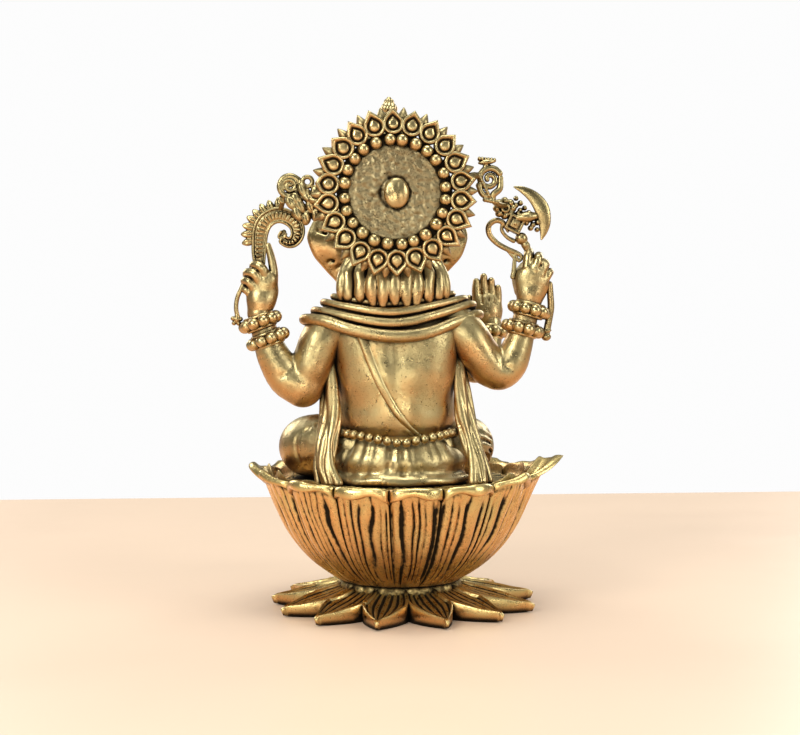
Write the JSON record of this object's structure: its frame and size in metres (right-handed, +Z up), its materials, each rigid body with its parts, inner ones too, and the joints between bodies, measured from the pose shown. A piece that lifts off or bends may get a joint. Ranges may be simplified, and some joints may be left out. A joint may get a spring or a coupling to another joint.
{
  "type": "hindu deity statue",
  "caption": "Small antique-brass figurine of a seated four-armed elephant-headed deity with a petalled halo, on a lotus bowl with a petalled foot.",
  "frame": {"origin": "lotus axis on the plane the foot stands on", "axes": "+Z up, the figure faces -Y, its own left hand is towards +X"},
  "size_m": [0.0688, 0.0652, 0.1092],
  "materials": {
    "figure_brass": "cast, polished on high places, dark patina in recesses",
    "ornament_brass": "cast and chased, dark patina between beads and petals",
    "lotus_brass": "cast, polished ridges, dark patina in the veins",
    "steel_fixing": "plain"
  },
  "bodies": {
    "root": {"axe_blade": "ornament_brass", "axe_head": "ornament_brass", "axe_ribbon": "ornament_brass", "axe_shaft": "ornament_brass", "bowl_petals": "lotus_brass", "crown_band": "ornament_brass", "crown_cone": "ornament_brass", "crown_finial": "ornament_brass", "draped_hips": "figure_brass", "ear_left": "figure_brass", "ear_right": "figure_brass", "elephant_head": "figure_brass", "foot_petals": "lotus_brass", "front_arm_left": "figure_brass", "front_arm_right": "figure_brass", "front_hand_left": "figure_brass", "front_hand_right": "figure_brass", "front_left_bangle": "ornament_brass", "front_right_bangle": "ornament_brass", "goad": "ornament_brass", "goad_handle": "ornament_brass", "goad_leaves": "ornament_brass", "hair_locks": "figure_brass", "halo_beads": "ornament_brass", "halo_disc": "figure_brass", "halo_petals": "ornament_brass", "halo_points": "ornament_brass", "halo_rivet": "ornament_brass", "leg_left": "figure_brass", "leg_right": "figure_brass", "lotus_bowl": "lotus_brass", "lotus_foot": "lotus_brass", "lotus_screw": "steel_fixing", "lotus_seat": "lotus_brass", "lotus_washer": "steel_fixing", "necklace": "ornament_brass", "rear_arm_left": "figure_brass", "rear_arm_right": "figure_brass", "rear_hand_left": "figure_brass", "rear_hand_right": "figure_brass", "rear_left_lower_bangle": "ornament_brass", "rear_left_upper_bangle": "ornament_brass", "rear_right_lower_bangle": "ornament_brass", "rear_right_upper_bangle": "ornament_brass", "sacred_thread": "ornament_brass", "scroll_bracket_left": "ornament_brass", "scroll_bracket_right": "ornament_brass", "shawl_collar": "figure_brass", "shawl_end_left": "figure_brass", "shawl_end_right": "figure_brass", "sweet_bowl": "ornament_brass", "torso": "figure_brass", "trunk": "figure_brass", "tusk_left": "figure_brass", "tusk_right": "figure_brass", "waist_beads": "ornament_brass"}
  },
  "joints": []
}
